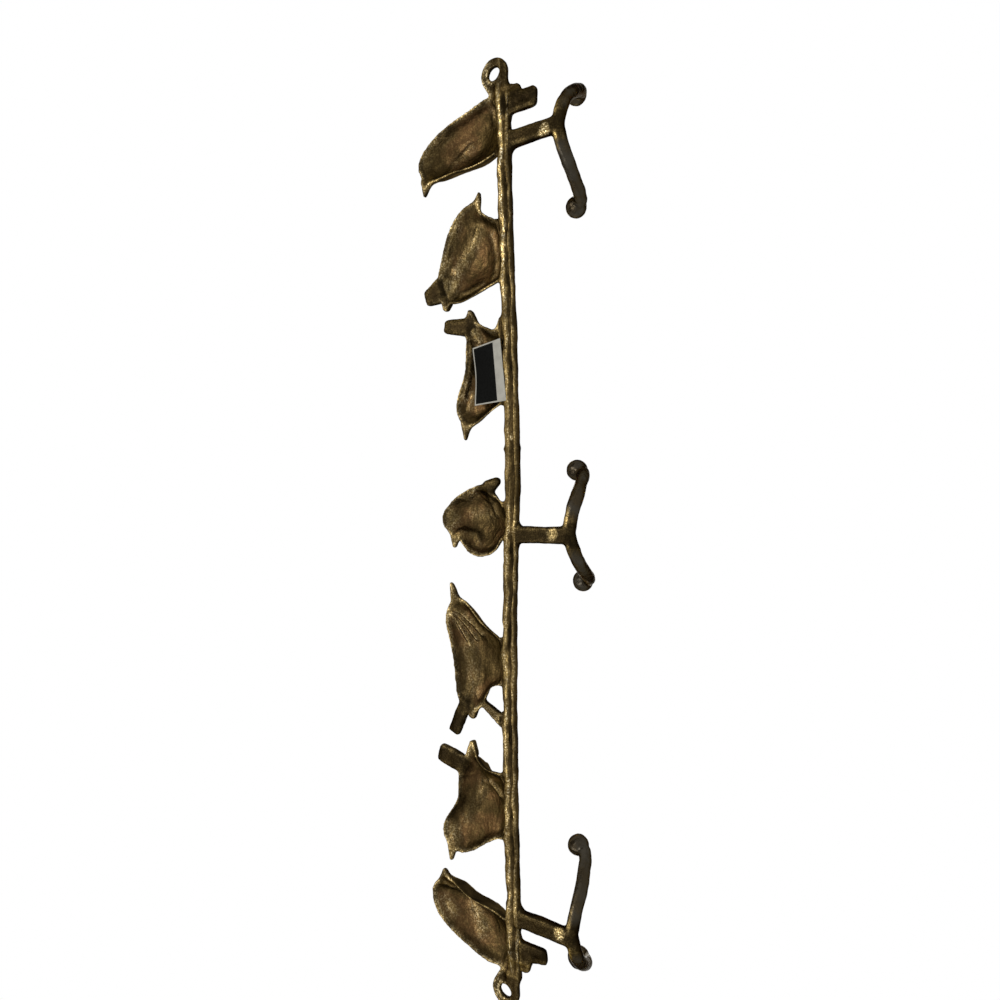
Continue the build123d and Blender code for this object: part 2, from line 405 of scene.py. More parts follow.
def armShare(points, look):
    beside = ease(hookGap(points[:, 0], look), *look["armBeside"])
    free = ease(partGap(points[:, (0, 2)], "tail", look), *look["armFree"])
    return beside * ease(-points[:, 2], *look["armBelow"]) * free


# a slow uneven sway along the rail
def wander(x, turn, share, look):
    waves = sum(size * np.sin(x * pitch + turn * step) for pitch, step, size in look["swayWaves"])
    return share * waves / look["swayTotal"]


def unworn(x, look):
    start, stop = look["wornRun"]
    ends = look["wornEnds"]
    return 1 - look["wornShare"] * ease(x, start - ends, start + ends) * ease(-x, -stop - ends, -stop + ends)


def railHeight(x, look):
    return np.interp(x, *np.array(look["railAxis"]).T)


# how much a point belongs to the rail's back, less where the stems join it
def railShare(x, y, over, look):
    stem = 1 - within(hookGap(x, look), *look["stemHalf"]) * ease(-over, *look["stemTop"])
    share = within(over, *look["railHalf"]) * ease(y, *look["railDepth"])
    return share * within(x, *look["lengthHalf"]) * stem


def narrowBeaks(points, look):
    for bird in look["birds"]:
        root, tip = (np.array(place, float) for place in bird["beak"])
        t = np.clip((points[:, (0, 2)] / mm - root) @ (tip - root) / ((tip - root) @ (tip - root)), 0, 1)
        off = points[:, (0, 2)] / mm - (root + t[:, None] * (tip - root))
        near = 1 - ease(np.linalg.norm(off, axis=1), *look["taperReach"])
        share = ease(t, *look["taperRun"]) * look["beakTaper"] * near
        points[:, (0, 2)] -= off * share[:, None] * mm


# two twigs run along the rail's back, cut down from its flat face
def carveTwigs(points, look):
    x, y, z = points.T / mm
    over = z - railHeight(x, look)
    crown = np.full(len(x), -look["railDrop"])
    for turn, (middle, half, rise) in enumerate(look["railTwigs"]):
        middle = middle + wander(x, turn, look["twigSway"], look)
        half = half * (1 + wander(x, turn + look["swellTurn"], look["twigSwell"], look))
        rise = rise * (1 + wander(x, turn + look["riseTurn"], look["twigRise"], look))
        bulge = np.sqrt(np.clip(1 - ((over - middle) / half) ** 2, 0, 1))
        crown = np.maximum(crown, rise * bulge - look["railDrop"])
    crown = np.minimum(crown, 0) * railShare(x, y, over, look) * unworn(x, look)
    points[:, 1] += crown * mm


def softenCast(mesh, look):
    points = readPoints(mesh)
    edges = readEdges(mesh)
    for _ in range(look["softRounds"]):
        for step in look["pushPull"]:  # together they keep the volume
            points = relax(points, edges, 1, step)
    writePoints(mesh, points)
    # every edge is rounded, then the girth that thin parts lost is given back
    normals = readNormals(mesh)
    before = points
    points = relax(points, edges, look["roundRounds"])
    lost = ((before - points) * normals).sum(1)
    for _ in range(look["girthRounds"]):
        lost = neighbourMean(lost, edges)
    points = points + normals * lost[:, None]
    # each rim slopes into its hollow from the outer edge
    inMm = points / mm
    y, z = inMm[:, 1], inMm[:, 2]
    rim = rimGap(inMm, normals, look)
    tails, beaks = (partGap(inMm[:, (0, 2)], part, look) for part in ("tail", "beak"))
    bird = ease(z, *look["perchRise"]) * ease(normals[:, 1], *look["backFacing"])
    inner = bird * ease(rim, *look["rimSlope"]) * ease(y, *look["rimDepth"])
    inner = inner * ease(tails, *look["tailFree"])
    points[:, 1] -= inner * look["rimDrop"] * ease(y, *look["rimFade"]) * mm
    narrowBeaks(points, look)
    # the hollows, arms, tails and beaks melt further
    dish = bird * ease(rim, *look["dishEdge"]) * ease(tails, *look["tailFree"])
    slim = np.maximum(1 - ease(tails, *look["tailSlim"]), 1 - ease(beaks, *look["beakSlim"]))
    neck = 1 - ease(beaks, *look["neckReach"])
    for part, share in (("dish", dish), ("arm", armShare(inMm, look)), ("slim", slim), ("neck", neck)):
        points = relax(points, edges, look[part + "Rounds"], 0.5 * share[:, None])
    writePoints(mesh, points)
    points = points + readNormals(mesh) * np.maximum(slim, neck)[:, None] * look["slimGirth"] * mm
    carveTwigs(points, look)
    writePoints(mesh, points)
    return edges


# zones of the finish, in mm or as a share of a normal; pairs as above
zoneLook = {
    "bodyStretch": 0.35,
    "bodyStep": 53,
    "bodyDepth": 0.5,
    "hollowFacing": (0.15, 0.5),
    "hollowDepth": (0.35, 1.3),
    "hollowHeight": (-3.0, -0.5),
    "wingShare": 0.52,
    "wingFacing": (0.4, 0.7),
    "wingHalf": (1.0, 0.25),
    "tailEdge": (2.6, 4.4),
    "tailRub": 0.2,
    "backFacing": (0.45, 0.9),
    "backDepth": (-0.75, -0.3),
    "rimWearAndHighlight": (0.75, 0.55),  # middle and width
    "rimFacing": (0.35, 0.7),
    "rimDepth": (-1.8, -0.9),
    "rimHeight": (-1.5, 0.5),
    "wallFrom": (-0.85, -0.5),
    "wallTo": (0.25, 0.6),
    "wallHeight": (-1.0, 1.0),
    "stemHalf": (5.0, 1.5),
    "stemBelow": (2.2, 3.2),
    "eyeletStart": (157.0, 160.0),
    "frontFacing": (0.1, 0.6),
    "frontDepth": (1.5, 3.0),
    # spots filed bright by hand: reach along and up, then their places
    "filedSpots": (
        ((2.4, 1.9), ((-138.2, -21.0), (0.2, -22.3), (136.4, -22.8))),
        ((1.1, 0.9), ((-102.5, -3.6), (-33.9, -5.8))),
    ),
    "filedHalf": (1.3, 1.0),
    "filedFacing": (0.2, 0.7),
    "shineFrom": (2.5, 4.0),
    "shineTo": (7.0, 13.0),
    "shineBelow": (9.0, 12.0),
    "shineLie": (0.92, 0.38),  # how far back and up they face
    "shineFacing": (0.86, 0.99),
    "railHalf": (3.3, 0.5),
    "railDepth": (-3.2, -1.2),
    "railStretch": 0.09,
    "railSide": 0.6,
    # a painted highlight along each twig: height, half width and share
    "twigLines": ((0.6, 0.42, 0.85), (-2.2, 0.35, 0.45)),
    # the painted highlight grows brighter towards the rail's end at negative X
    "brightEnd": (75.0, 110.0),
    "brightShare": 2.3,
    "lineHalf": (159.0, 5.0),
    "lineRest": 0.12,
    "lineFacing": (0.3, 0.7),
    "crestRounds": 3,
    "crestLift": 0.04,
    "crestLie": 0.1,
    "crestFacing": (0.25, 0.65),
    "crestSide": 0.15,
}


def markBodies(mesh, site, look, zone):
    x, y, z, flat, facing = (site[key] for key in ("x", "y", "z", "flat", "facing"))
    shoulders, tips = (np.array([bird["wing"][end] for bird in look["birds"]], float) for end in (0, 1))
    widths = np.array([bird["wing"][2] for bird in look["birds"]], float)
    middles = np.mean([shoulders, tips], 0)
    owner = np.argmin(np.abs(x[:, None] - middles[None, :, 0]), 1)
    spans = np.linalg.norm(tips - shoulders, axis=1)
    lies = ((tips - shoulders) / spans[:, None])[owner]
    # places along and across each bird's body
    off = flat - middles[owner]
    along = (off * lies).sum(1)
    across = off[:, 0] * -lies[:, 1] + off[:, 1] * lies[:, 0]
    storePlaces(mesh, "bodyPlace", along * zone["bodyStretch"] + zone["bodyStep"] * owner, across,
                y * zone["bodyDepth"])
    hollow = ease(facing, *zone["hollowFacing"]) * ease(-y, *zone["hollowDepth"])
    hollow = hollow * ease(z, *zone["hollowHeight"])
    storeMask(mesh, "hollow", hollow)
    # folds that the casting left standing in the hollows, with gold on them that is partly a painted
    # highlight
    ridge = np.zeros(len(x))
    height = np.zeros(len(x))
    for run, rise, width, gold in (fold for bird in look["birds"] for fold in bird["folds"]):
        gap = np.min([runGap(flat, a, b) for a, b in zip(run, run[1:])], 0)
        hump = bell(gap, width) * hollow
        ridge = np.maximum(ridge, hump * gold)
        height = np.maximum(height, hump * rise)
    storeMask(mesh, "ridge", ridge)
    storeMask(mesh, "foldHeight", height)
    # wings on the front
    share = zone["wingShare"]
    leaf = (along / (spans[owner] * share)) ** 2 + (across / (widths[owner] * share)) ** 2
    storeMask(mesh, "feather", ease(-facing, *zone["wingFacing"]) * within(leaf, *zone["wingHalf"]))


def markBack(mesh, site, look, zone):
    x, y, z, facing, over = (site[key] for key in ("x", "y", "z", "facing", "over"))
    offTail = ease(site["tails"], *zone["tailEdge"])
    # the flat back that is rubbed, duller on the tails
    rub = zone["tailRub"] + (1 - zone["tailRub"]) * offTail
    storeMask(mesh, "back", ease(facing, *zone["backFacing"]) * ease(y, *zone["backDepth"]) * rub)
    # thin lines along the rims, worn bright and partly a painted highlight, and the outer walls of the birds
    middle, width = zone["rimWearAndHighlight"]
    rims = bell(rimGap(site["points"], site["normals"], look) - middle, width)
    rims = rims * ease(facing, *zone["rimFacing"]) * ease(y, *zone["rimDepth"])
    storeMask(mesh, "rimWearAndHighlight", rims * ease(z, *zone["rimHeight"]) * offTail)
    wall = ease(facing, *zone["wallFrom"]) * (1 - ease(facing, *zone["wallTo"]))
    storeMask(mesh, "wall", wall * ease(z, *zone["wallHeight"]))
    # tails, stems and eyelets stay dull
    stems = within(site["hookGap"], *zone["stemHalf"]) * ease(-over, *zone["stemBelow"])
    eyelets = ease(np.abs(x), *zone["eyeletStart"])
    storeMask(mesh, "dull", np.maximum(np.maximum(1 - offTail, stems), eyelets))
    storeMask(mesh, "front", ease(-facing, *zone["frontFacing"]) * ease(-y, *zone["frontDepth"]))


def markHooks(mesh, site, look, zone):
    x, z, facing, near = (site[key] for key in ("x", "z", "facing", "hookGap"))
    filed = np.zeros(len(x))
    for (wide, high), spots in zone["filedSpots"]:
        for spot in spots:
            part = ((x - spot[0]) / wide) ** 2 + ((z - spot[1]) / high) ** 2
            filed = np.maximum(filed, within(part, *zone["filedHalf"]) * ease(facing, *zone["filedFacing"]))
    storeMask(mesh, "filed", filed)
    storeMask(mesh, "arm", armShare(site["points"], look))
    # a painted highlight on the arms next to the stems, where they face up and back
    shine = ease(near, *zone["shineFrom"]) * (1 - ease(near, *zone["shineTo"]))
    shine = shine * ease(-site["over"], *zone["shineBelow"]) * ease(site["tails"], *look["armFree"])
    lie = facing * zone["shineLie"][0] + site["normals"][:, 2] * zone["shineLie"][1]
    storeMask(mesh, "armHighlight", shine * ease(lie, *zone["shineFacing"]))


def markRail(mesh, site, look, zone):
    x, y, over = site["x"], site["y"], site["over"]
    rail = within(over, *zone["railHalf"]) * ease(y, *zone["railDepth"])
    storeMask(mesh, "rail", rail)
    # places along the rail, for its streaks
    storePlaces(mesh, "railPlace", x * zone["railStretch"], over, y * zone["railSide"])
    # painted highlights along the twigs' crowns, on faces turned to the back, brighter towards negative X
    thick, thin = (
        share * bell(over - height - wander(x, turn, look["twigSway"], look), half)
        for turn, (height, half, share) in enumerate(zone["twigLines"])
    )
    thickShare = zone["twigLines"][0][2]
    lines = thick * (1 + zone["brightShare"] / thickShare * ease(-x, *zone["brightEnd"])) + thin
    rest = zone["lineRest"]
    lines = lines * (rest + (1 - rest) * within(x, *zone["lineHalf"])) * unworn(x, look)
    storeMask(mesh, "railHighlight", lines * rail * ease(site["facing"], *zone["lineFacing"]))


# crests and creases, from how far a point stands off its neighbours
def markCrests(mesh, site, edges, zone):
    points, normals = site["points"], site["normals"]
    lift = ((points - neighbourMean(points, edges)) * normals).sum(1)
    lift = relax(lift, edges, zone["crestRounds"])
    # crests that face sideways are weakened, since the gold laid on crests is rubbed wear and partly a
    # painted highlight
    side = zone["crestSide"]
    turned = side + (1 - side) * ease(np.abs(site["facing"] - zone["crestLie"]), *zone["crestFacing"])
    storeMask(mesh, "crest", np.clip(lift / zone["crestLift"], -1, 1) * np.where(lift > 0, turned, 1))


def markCasting(mesh, edges, look, zone):
    points = readPoints(mesh) / mm
    normals = readNormals(mesh)
    x, y, z = points.T
    flat = points[:, (0, 2)]
    site = {
        "points": points, "normals": normals, "x": x, "y": y, "z": z, "flat": flat, "facing": normals[:, 1],
        "over": z - railHeight(x, look), "hookGap": hookGap(x, look), "tails": partGap(flat, "tail", look),
    }
    markBodies(mesh, site, look, zone)
    markBack(mesh, site, look, zone)
    markHooks(mesh, site, look, zone)
    markRail(mesh, site, look, zone)
    markCrests(mesh, site, edges, zone)


def castSkinTree(look):
    tree = bpy.data.node_groups.new("castSkin", "GeometryNodeTree")
    maths = mathsIn(tree)
    face = tree.interface
    face.new_socket("Geometry", in_out="INPUT", socket_type="NodeSocketGeometry")
    for name in ("Wave Depth", "Wave Scale", "Grain Depth", "Grain Scale", "Lump Depth", "Lump Scale",
                 "Feather Depth", "Feather Pitch"):
        face.new_socket(name, in_out="INPUT", socket_type="NodeSocketFloat")
    face.new_socket("Material", in_out="INPUT", socket_type="NodeSocketMaterial")
    face.new_socket("Geometry", in_out="OUTPUT", socket_type="NodeSocketGeometry")
    given = tree.nodes.new("NodeGroupInput")
    done = tree.nodes.new("NodeGroupOutput")

    def named(name, kind="FLOAT"):
        got = placeNode(tree, "GeometryNodeInputNamedAttribute", data_type=kind)
        got.inputs["Name"].default_value = name
        return got.outputs["Attribute"]

    def scaled(vector, share):
        made = placeNode(tree, "ShaderNodeVectorMath", operation="SCALE")
        feed(tree, vector, made.inputs[0])
        feed(tree, share, made.inputs["Scale"])
        return made.outputs[0]

    # noise lies around one half, so that much comes off
    def relief(place, name):
        detail = look[name.lower() + "Detail"]
        noise = maths("SUBTRACT", noiseAt(tree, place, given.outputs[name + " Scale"], detail), 0.5)
        return maths("MULTIPLY", noise, given.outputs[name + " Depth"])

    body = named("bodyPlace", "FLOAT_VECTOR")
    folds = maths("MULTIPLY", relief(body, "Wave"), named("hollow"))
    folds = maths("ADD", folds, named("foldHeight"))
    spot = placeNode(tree, "GeometryNodeInputPosition")
    inMm = scaled(spot.outputs[0], 1 / mm)
    grain = maths("ADD", relief(inMm, "Grain"), relief(inMm, "Lump"))
    # barbs slant away from the wing's middle line and repeat at the pitch
    parts = placeNode(tree, "ShaderNodeSeparateXYZ")
    feed(tree, body, parts.inputs[0])
    slant = maths("MULTIPLY", parts.outputs[0], look["barbSlant"])
    slant = maths("ADD", slant, maths("ABSOLUTE", parts.outputs[1]))
    turn = maths("DIVIDE", maths("MULTIPLY", slant, 2 * math.pi), given.outputs["Feather Pitch"])
    barbs = maths("SUBTRACT", maths("SINE", turn), look["barbSink"])
    barbs = maths("MULTIPLY", maths("MULTIPLY", barbs, given.outputs["Feather Depth"]), named("feather"))
    total = maths("MULTIPLY", maths("ADD", maths("ADD", folds, grain), barbs), mm)
    normal = placeNode(tree, "GeometryNodeInputNormal")
    shift = placeNode(tree, "GeometryNodeSetPosition")
    feed(tree, given.outputs["Geometry"], shift.inputs["Geometry"])
    feed(tree, scaled(normal.outputs[0], total), shift.inputs["Offset"])
    real = placeNode(tree, "GeometryNodeRealizeInstances")
    feed(tree, shift.outputs[0], real.inputs[0])
    paint = placeNode(tree, "GeometryNodeSetMaterial")
    feed(tree, real.outputs[0], paint.inputs["Geometry"])
    feed(tree, given.outputs["Material"], paint.inputs["Material"])
    feed(tree, paint.outputs[0], done.inputs[0])
    return tree


# one soil pattern for the metal and the paper: scale, detail and the range that it fades over
soilLook = {
    "patchScale": 110.0,
    "patchDetail": 5.0,
    "speckScale": 700.0,
    "speckDetail": 3.0,
    "roughness": 0.6,
    "low": 0.42,
    "high": 0.62,
}


def soilGroup(look):
    tree = bpy.data.node_groups.new("soil", "ShaderNodeTree")
    face = tree.interface
    face.new_socket("Vector", in_out="INPUT", socket_type="NodeSocketVector")
    floats = {"Patch Scale": "patchScale", "Speck Scale": "speckScale", "Low": "low", "High": "high"}
    for name, key in floats.items():
        face.new_socket(name, in_out="INPUT", socket_type="NodeSocketFloat").default_value = look[key]
    face.new_socket("Patches", in_out="OUTPUT", socket_type="NodeSocketFloat")
    face.new_socket("Specks", in_out="OUTPUT", socket_type="NodeSocketFloat")
    given = tree.nodes.new("NodeGroupInput")
    done = tree.nodes.new("NodeGroupOutput")
    kinds = (("Patch Scale", "Patches", "patchDetail"), ("Speck Scale", "Specks", "speckDetail"))
    for scale, target, key in kinds:
        noise = noiseAt(tree, given.outputs["Vector"], given.outputs[scale], look[key], look["roughness"])
        spread = smoothRange(tree, noise, given.outputs["Low"], given.outputs["High"])
        feed(tree, spread, done.inputs[target])
    return tree


def placeSoil(tree, soil, place, **scales):
    made = placeNode(tree, "ShaderNodeGroup", node_tree=soil, **scales)
    feed(tree, place, made.inputs["Vector"])
    return made.outputs["Patches"], made.outputs["Specks"]


brassLook = {
    "dark": (0.010, 0.0068, 0.0032),
    "brown": (0.070, 0.0445, 0.0155),
    "red": (0.086, 0.043, 0.018),
    "gold": (0.54, 0.38, 0.14),
    "glint": (0.95, 0.84, 0.58),
    "grey": (0.056, 0.049, 0.037),
    "edge": (0.30, 0.28, 0.24),
    "gloss": 0.0,
    "metallic": 0.95,
    "wallDull": 0.95,
    "roughness": (0.38, 0.22),  # plain and polished
    "armPolish": 0.7,
    "speckScale": 1700.0,
    "streakScales": (1.6, 0.64),  # along the rail and along the bodies
    "streakRange": (0.44, 0.66),
    "detail": 4.0,
    # brown in each zone, and red in the hollows' patches
    "patchBrown": 0.35,
    "hollowBrown": (0.48, 0.15),  # everywhere and in streaks
    "backBrown": 0.25,
    "railBrown": 0.3,
    "frontBrown": 0.7,
    "hollowRed": 0.65,
    # grey arms with patches left brown, dull tails and stems, creases darkened with painted shade
    "armGrey": (0.92, 0.5),  # all over, and less in patches
    "dullDark": 0.75,
    "creaseDark": (0.75, 0.35),  # all over, and less on the rail
    "armPlain": 0.85,
    "dullPlain": 0.6,
    # gold in each zone, rubbed and filed, with painted highlights on the rail, rims, crests, folds and arms:
    # everywhere, then where its pattern lies
    "backGold": 0.05,
    "crestGold": (0.03, 0.1, 0.5),
    "rimGold": (0.03, 0.13, 0.3),
    "ridgeGold": (0.05, 0.06, 0.14),
    "lineGold": (0.05, 0.75),
    "frontGold": (0.5, 0.12),
    "hollowGold": (0.015, 0.07),
    "shineGold": (0.3, 0.6),
    "filedGold": (0.15, 0.6),
    # small glints where the gold lines catch the light
    "glintRest": 0.25,
    "glintShares": {"rimWearAndHighlight": 0.3, "railHighlight": 0.45, "ridge": 0.15, "filed": 0.525},
    # cast grain
    "grainScale": 800.0,
    "armSmooth": 0.35,
    "railGrain": 1.2,
    "hollowGrain": 0.3,
    "bump": 0.9,
    "bumpDepth": 0.00028,
}


def agedBrass(look, soil):
    material, tree, shader = newFinish("agedBrass")
    maths = mathsIn(tree)

    def times(*values):
        total = values[0]
        for value in values[1:]:
            total = maths("MULTIPLY", total, value)
        return total

    def plus(*values, clamp=False):
        total = values[0]
        for count, value in enumerate(values[1:], 2):
            total = maths("ADD", total, value, clamp and count == len(values))
        return total

    def less(a, b):
        return maths("SUBTRACT", a, b)

    def mix(share, a, b):
        return colourMix(tree, share, a, b)

    def attribute(name, kind="Fac"):
        return placeNode(tree, "ShaderNodeAttribute", attribute_name=name).outputs[kind]

    def streaks(name, scale):
        noise = noiseAt(tree, attribute(name, "Vector"), scale, look["detail"])
        return noise, smoothRange(tree, noise, *look["streakRange"])

    coords = tree.nodes.new("ShaderNodeTexCoord").outputs["Object"]
    patch, speck = placeSoil(tree, soil, coords, Speck_Scale=look["speckScale"])
    railGrain, railStreak = streaks("railPlace", look["streakScales"][0])
    bodyGrain, bodyStreak = streaks("bodyPlace", look["streakScales"][1])
    zones = ("back", "hollow", "arm", "rail", "front", "dull", "wall", "crest", "ridge", "filed", "armHighlight",
             "rimWearAndHighlight", "railHighlight")
    zone = {name: attribute(name) for name in zones}
    arm, rail, hollow = zone["arm"], zone["rail"], zone["hollow"]

    def lit(area, pattern, shares):
        return times(area, plus(shares[0], times(pattern, shares[1])))

    def speckled(area, shares):
        return times(area, plus(shares[0], times(patch, plus(shares[1], times(speck, shares[2])))))

    # the hollows and the back are brown, the outside dark, and the creases dark with painted shade
    warm = plus(times(patch, look["patchBrown"]), lit(hollow, bodyStreak, look["hollowBrown"]),
                times(zone["back"], look["backBrown"]), times(rail, look["railBrown"]),
                times(zone["front"], look["frontBrown"]), clamp=True)
    colour = mix(warm, look["dark"], mix(times(hollow, patch, look["hollowRed"]), look["brown"], look["red"]))
    colour = mix(times(arm, less(look["armGrey"][0], times(patch, look["armGrey"][1]))), colour, look["grey"])
    colour = mix(times(zone["dull"], look["dullDark"]), colour, look["dark"])
    # gold where the cast is rubbed and filed, and painted highlights on the rail twigs, rims, crests, folds
    # and arms
    held = maths("MAXIMUM", times(arm, look["armPlain"]), times(zone["dull"], look["dullPlain"]))
    plain = less(1.0, held)
    crest = times(maths("MAXIMUM", zone["crest"], 0.0), plain)
    rest, low, high = look["ridgeGold"]
    ridges = plus(rest, times(plus(bodyStreak, speck), plus(low, times(patch, high))))
    fronts = plus(times(crest, look["frontGold"][0]), times(bodyStreak, patch, look["frontGold"][1]))
    bright = plus(
        times(zone["back"], plain, speck, look["backGold"]),
        speckled(crest, look["crestGold"]),
        times(zone["ridge"], ridges),
        lit(zone["railHighlight"], railStreak, look["lineGold"]),
        speckled(zone["rimWearAndHighlight"], look["rimGold"]),
        times(zone["front"], fronts),
        lit(times(hollow, speck), bodyStreak, look["hollowGold"]),
        lit(zone["armHighlight"], speck, look["shineGold"]),
        lit(zone["filed"], speck, look["filedGold"]),
        clamp=True,
    )
    colour = mix(bright, colour, look["gold"])
    spots = times(speck, speck, speck, plus(look["glintRest"], patch))
    lines = plus(*(times(zone[name], share) for name, share in look["glintShares"].items()))
    colour = mix(times(lines, spots), colour, look["glint"])
    # painted shade: the creases are darkened, less on the rail
    crease = maths("MAXIMUM", times(zone["crest"], -1.0), 0.0)
    sunk, onRail = look["creaseDark"]
    colour = mix(times(crease, less(sunk, times(rail, onRail))), colour, look["dark"])
    feed(tree, colour, shader.inputs["Base Color"])
    feed(tree, less(look["metallic"], times(zone["wall"], look["wallDull"])), shader.inputs["Metallic"])
    feed(tree, look["edge"], shader.inputs["Specular Tint"])
    feed(tree, look["gloss"], shader.inputs["Specular IOR Level"])
    polish = plus(bright, times(arm, look["armPolish"]), clamp=True)
    feed(tree, evenRange(tree, polish, *look["roughness"]), shader.inputs["Roughness"])
    grain = noiseAt(tree, coords, look["grainScale"], look["detail"])
    height = plus(
        times(grain, less(1.0, times(arm, look["armSmooth"]))),
        times(railGrain, rail, look["railGrain"]),
        times(bodyGrain, hollow, look["hollowGrain"]),
    )
    bump = placeNode(tree, "ShaderNodeBump", Strength=look["bump"], Distance=look["bumpDepth"])
    feed(tree, height, bump.inputs["Height"])
    feed(tree, bump.outputs["Normal"], shader.inputs["Normal"])
    return material


soil = soilGroup(soilLook)
brass = agedBrass(brassLook, soil)

casting = mergedCopy("casting", "castRail")
remesh = casting.modifiers.new("skin", "REMESH")
remesh.mode = "VOXEL"
remesh.voxel_size = castingLook["voxel"] * mm
remesh.adaptivity = 0
bakeModifiers(casting)
edges = softenCast(casting.data, castingLook)
markCasting(casting.data, edges, castingLook, zoneLook)
skin = casting.modifiers.new("castSkin", "NODES")
skin.node_group = castSkinTree(castingLook)
for item in skin.node_group.interface.items_tree:
    if item.in_out == "INPUT" and item.socket_type == "NodeSocketFloat":
        words = item.name.split()
        skin[item.identifier] = castingLook[words[0].lower() + words[1]]
    elif item.in_out == "INPUT" and item.socket_type == "NodeSocketMaterial":
        skin[item.identifier] = brass
bakeModifiers(casting)
# flat stretches need fewer faces
thin = casting.modifiers.new("thin", "DECIMATE")
thin.ratio = castingLook["keptShare"]
thin.use_collapse_triangulate = True
bakeModifiers(casting)
casting.data.shade_smooth()
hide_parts("casting")
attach(casting, "root")
print("casting skinned:", sum(len(p.vertices) - 2 for p in casting.data.polygons), "triangles")


# corners seen from the back, in mm: upper near, upper far, lower far, lower near
labelLook = {
    "corners": ((-67.5, 10.6), (-46.3, 9.9), (-47.0, -4.0), (-69.5, -1.7)),
    "cells": (44, 28),
    "sag": 1.1,
    "sagRound": 1.5,
    "sagReach": 0.62,
    "sagFade": 1.2,
    "lift": 0.16,
    "thickness": 0.15,
    # shares of the sheet: the pale border above and at the sides, and the pale strip below
    "border": 0.035,
    "sideBorder": 0.02275,
    "strip": 0.27,
    "black": (0.004, 0.004, 0.0035),
    "white": (0.36, 0.345, 0.30),
    "soiled": 0.72,
    "soilShare": 0.5,
    "patchScale": 260.0,
    "speckScale": 1500.0,
    "roughness": (0.42, 0.6),
    "gloss": 0.012,
}


def labelSheet(look):
    across, down = look["cells"]
    corners = [np.array(corner) for corner in look["corners"]]
    points = []
    uvs = []
    for j in range(down + 1):
        v = j / down
        for i in range(across + 1):
            u = i / across
            top = corners[0] * (1 - u) + corners[1] * u
            low = corners[3] * (1 - u) + corners[2] * u
            spot = top * (1 - v) + low * v
            fade = max(0.0, 1 - v / look["sagReach"]) ** look["sagFade"]
            dip = look["sag"] * math.sin(math.pi * u) ** look["sagRound"] * fade
            points.append((spot[0] * mm, (look["lift"] - dip) * mm, spot[1] * mm))
            uvs.append((u, 1 - v))
    row = across + 1
    starts = [j * row + i for j in range(down) for i in range(across)]
    faces = [(a, a + 1, a + row + 1, a + row) for a in starts]
    mesh = bpy.data.meshes.new("paperLabel")
    mesh.from_pydata(points, [], faces)
    layer = mesh.uv_layers.new(name="UVMap")
    for loop in mesh.loops:
        layer.data[loop.index].uv = uvs[loop.vertex_index]
    made = newObject("paperLabel", mesh)
    work = bmesh.new()
    work.from_mesh(mesh)
    bmesh.ops.recalc_face_normals(work, faces=work.faces)
    if sum(f.normal.y for f in work.faces) < 0:  # the print faces the back
        bmesh.ops.reverse_faces(work, faces=work.faces)
    work.to_mesh(mesh)
    work.free()
    paper = made.modifiers.new("paper", "SOLIDIFY")
    paper.thickness = look["thickness"] * mm
    paper.offset = -1
    return bakeModifiers(made)


def labelPaper(look, soil):
    material, tree, shader = newFinish("printedPaper")
    maths = mathsIn(tree)
    uv = placeNode(tree, "ShaderNodeUVMap", uv_map="UVMap")
    parts = tree.nodes.new("ShaderNodeSeparateXYZ")
    feed(tree, uv.outputs[0], parts.inputs[0])
    u, v = parts.outputs[0], parts.outputs[1]
    sides = maths("MULTIPLY", maths("GREATER_THAN", u, look["sideBorder"]),
                  maths("LESS_THAN", u, 1 - look["sideBorder"]))
    field = maths("MULTIPLY", sides, maths("LESS_THAN", v, 1 - look["border"]))
    field = maths("MULTIPLY", field, maths("GREATER_THAN", v, look["strip"]))
    coords = tree.nodes.new("ShaderNodeTexCoord").outputs["Object"]
    scales = {"Patch_Scale": look["patchScale"], "Speck_Scale": look["speckScale"]}
    patch, speck = placeSoil(tree, soil, coords, **scales)
    soiled = tuple(c * look["soiled"] for c in look["white"])
    paper = colourMix(tree, maths("MULTIPLY", patch, look["soilShare"]), look["white"], soiled)
    feed(tree, colourMix(tree, field, paper, look["black"]), shader.inputs["Base Color"])
    feed(tree, look["gloss"], shader.inputs["Specular IOR Level"])
    feed(tree, evenRange(tree, speck, *look["roughness"]), shader.inputs["Roughness"])
    return material


label = labelSheet(labelLook)
label.data.materials.clear()
label.data.materials.append(labelPaper(labelLook, soil))
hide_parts("back_label")
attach(label, "root")
print("label laid")


# camera below and behind the rail, turned a quarter turn; mm and degrees
cameraLook = {
    "middle": (-11.6, 0, -0.7),
    "distance": 258.3,
    "rise": 35.0,
    "roll": 0.75,
    "sensor": 36,
    "focalShare": 0.72,
    "clipStart": 10,
}


def placeCamera(look):
    rise = math.radians(look["rise"])
    roll = math.radians(look["roll"])
    ahead = Vector((0, -math.cos(rise), math.sin(rise)))
    side = Vector((0, -math.sin(rise), -math.cos(rise)))
    down = Vector((1, 0, 0))
    right = side * math.cos(roll) + down * math.sin(roll)
    up = side * math.sin(roll) - down * math.cos(roll)
    data = bpy.data.cameras.new("camera")
    data.sensor_width = look["sensor"]
    data.lens = look["sensor"] * look["focalShare"]
    data.clip_start = look["clipStart"] * mm
    made = newObject("camera", data)
    spot = (Vector(look["middle"]) - ahead * look["distance"]) * mm
    turn = Matrix((right, up, -ahead)).transposed().to_4x4()
    made.matrix_world = Matrix.Translation(spot) @ turn
    bpy.context.scene.camera = made


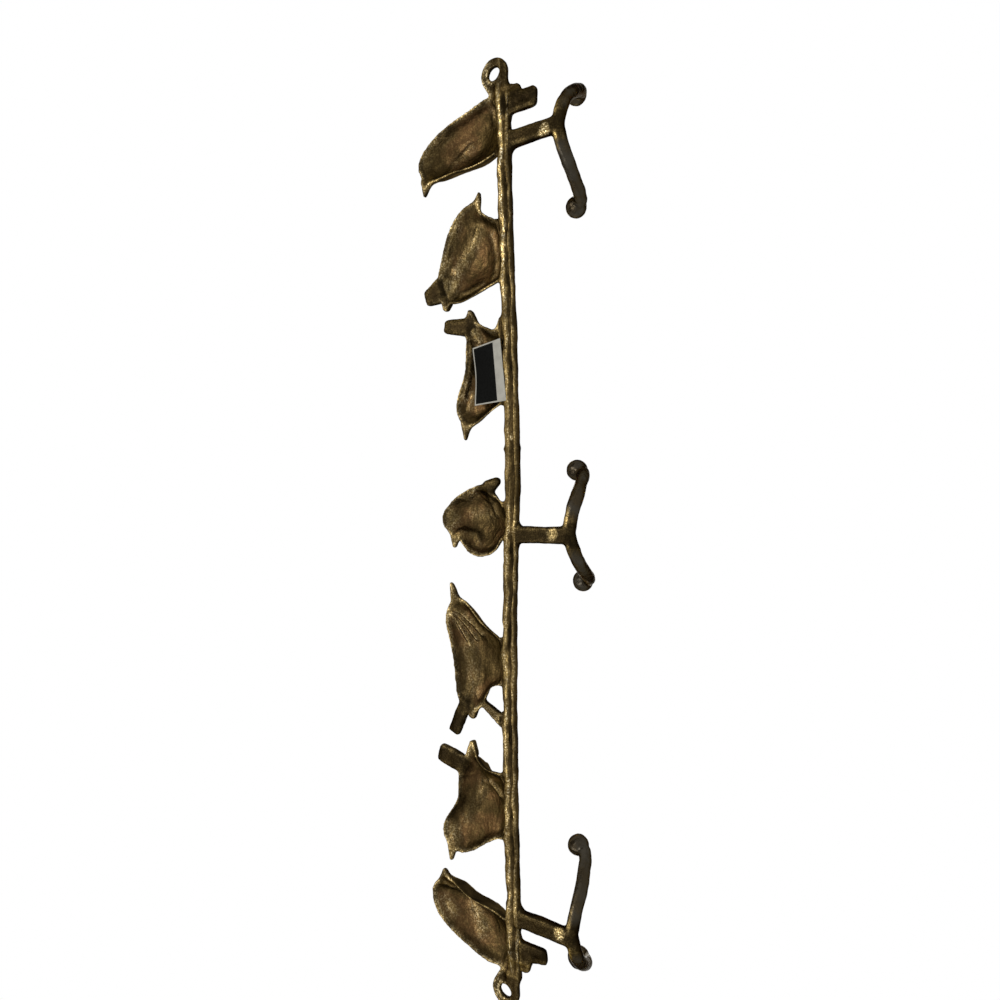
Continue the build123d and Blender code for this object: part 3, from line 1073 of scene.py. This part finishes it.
# metres and watts
stageLook = {
    "floorHeight": -0.2,
    "floorHalf": 4,
    "floorColour": (0.8, 0.8, 0.79),
    "floorRoughness": 0.8,
    "skyLevel": 0.65,
    # place, size and power of each lamp; all face the rail's middle
    "lamps": [
        ((-0.3, 0.8, 0.6), 0.26, 3.3),
        ((0.45, 0.8, 0.45), 0.24, 1.75),
        ((-0.4, -0.9, 0.75), 0.4, 2.8),
        ((0.5, -0.8, 0.5), 0.4, 1.5),
    ],
}


def layFloor(look):
    half, height = look["floorHalf"], look["floorHeight"]
    mesh = bpy.data.meshes.new("floor")
    corners = [(x * half, y * half, height) for x, y in ((-1, -1), (1, -1), (1, 1), (-1, 1))]
    mesh.from_pydata(corners, [], [(0, 1, 2, 3)])
    floor = newObject("floor", mesh)
    material, tree, shader = newFinish("paleFloor")
    feed(tree, look["floorColour"], shader.inputs["Base Color"])
    feed(tree, look["floorRoughness"], shader.inputs["Roughness"])
    mesh.materials.append(material)


def hangLamps(look):
    for place, size, power in look["lamps"]:
        data = bpy.data.lights.new("softbox", "AREA")
        data.size = size
        data.energy = power
        made = newObject("softbox", data)
        made.location = place
        made.rotation_euler = Vector(place).to_track_quat("Z", "Y").to_euler()


# the eye, gloss and glass see plain white, while the light from around stays at its level
def paintSky(look):
    world = bpy.data.worlds.new("studio")
    bpy.context.scene.world = world
    world.use_nodes = True
    tree = world.node_tree
    maths = mathsIn(tree)
    sky = tree.nodes["Background"]
    feed(tree, (1, 1, 1), sky.inputs["Color"])
    feed(tree, look["skyLevel"], sky.inputs["Strength"])
    white = placeNode(tree, "ShaderNodeBackground", Color=(1, 1, 1, 1), Strength=1.0)
    path = tree.nodes.new("ShaderNodeLightPath")
    shiny = maths("MAXIMUM", path.outputs["Is Glossy Ray"], path.outputs["Is Transmission Ray"])
    seen = maths("MAXIMUM", path.outputs["Is Camera Ray"], shiny)
    blend = tree.nodes.new("ShaderNodeMixShader")
    for value, socket in zip((seen, sky.outputs[0], white.outputs[0]), blend.inputs):
        feed(tree, value, socket)
    feed(tree, blend.outputs[0], tree.nodes["World Output"].inputs["Surface"])


placeCamera(cameraLook)
layFloor(stageLook)
hangLamps(stageLook)
paintSky(stageLook)
print("stage set")
